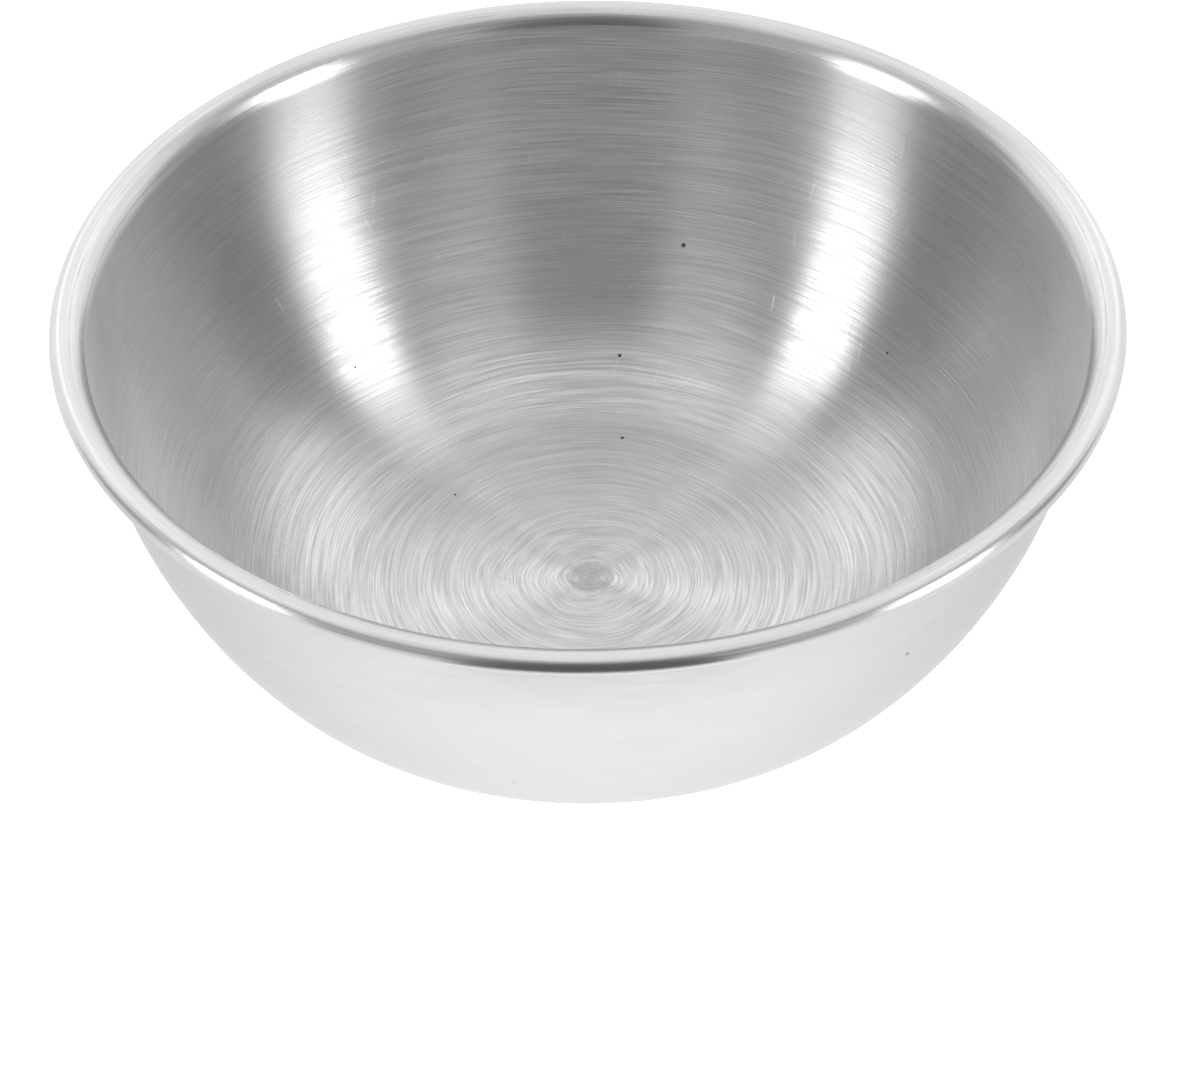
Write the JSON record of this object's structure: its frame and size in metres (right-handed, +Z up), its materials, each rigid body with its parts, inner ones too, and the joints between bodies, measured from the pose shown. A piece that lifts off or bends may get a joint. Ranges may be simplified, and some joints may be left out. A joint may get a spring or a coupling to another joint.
{
  "type": "round bowl",
  "caption": "Round stainless steel ward bowl with a flat base, a gently bowed wall and an out-turned rim folded back under itself.",
  "frame": {"origin": "centre of the flat base's underside, where the bowl stands", "axes": "+Z up along the bowl's axis, from the base towards the open rim; X and Y are free, because the bowl is turned"},
  "size_m": [0.12, 0.12, 0.044],
  "materials": {
    "steel": "satin stainless steel: spin-brushed inside, polished turned rim, fine satin outside"
  },
  "bodies": {
    "root": {"bowl": "steel"}
  },
  "joints": []
}
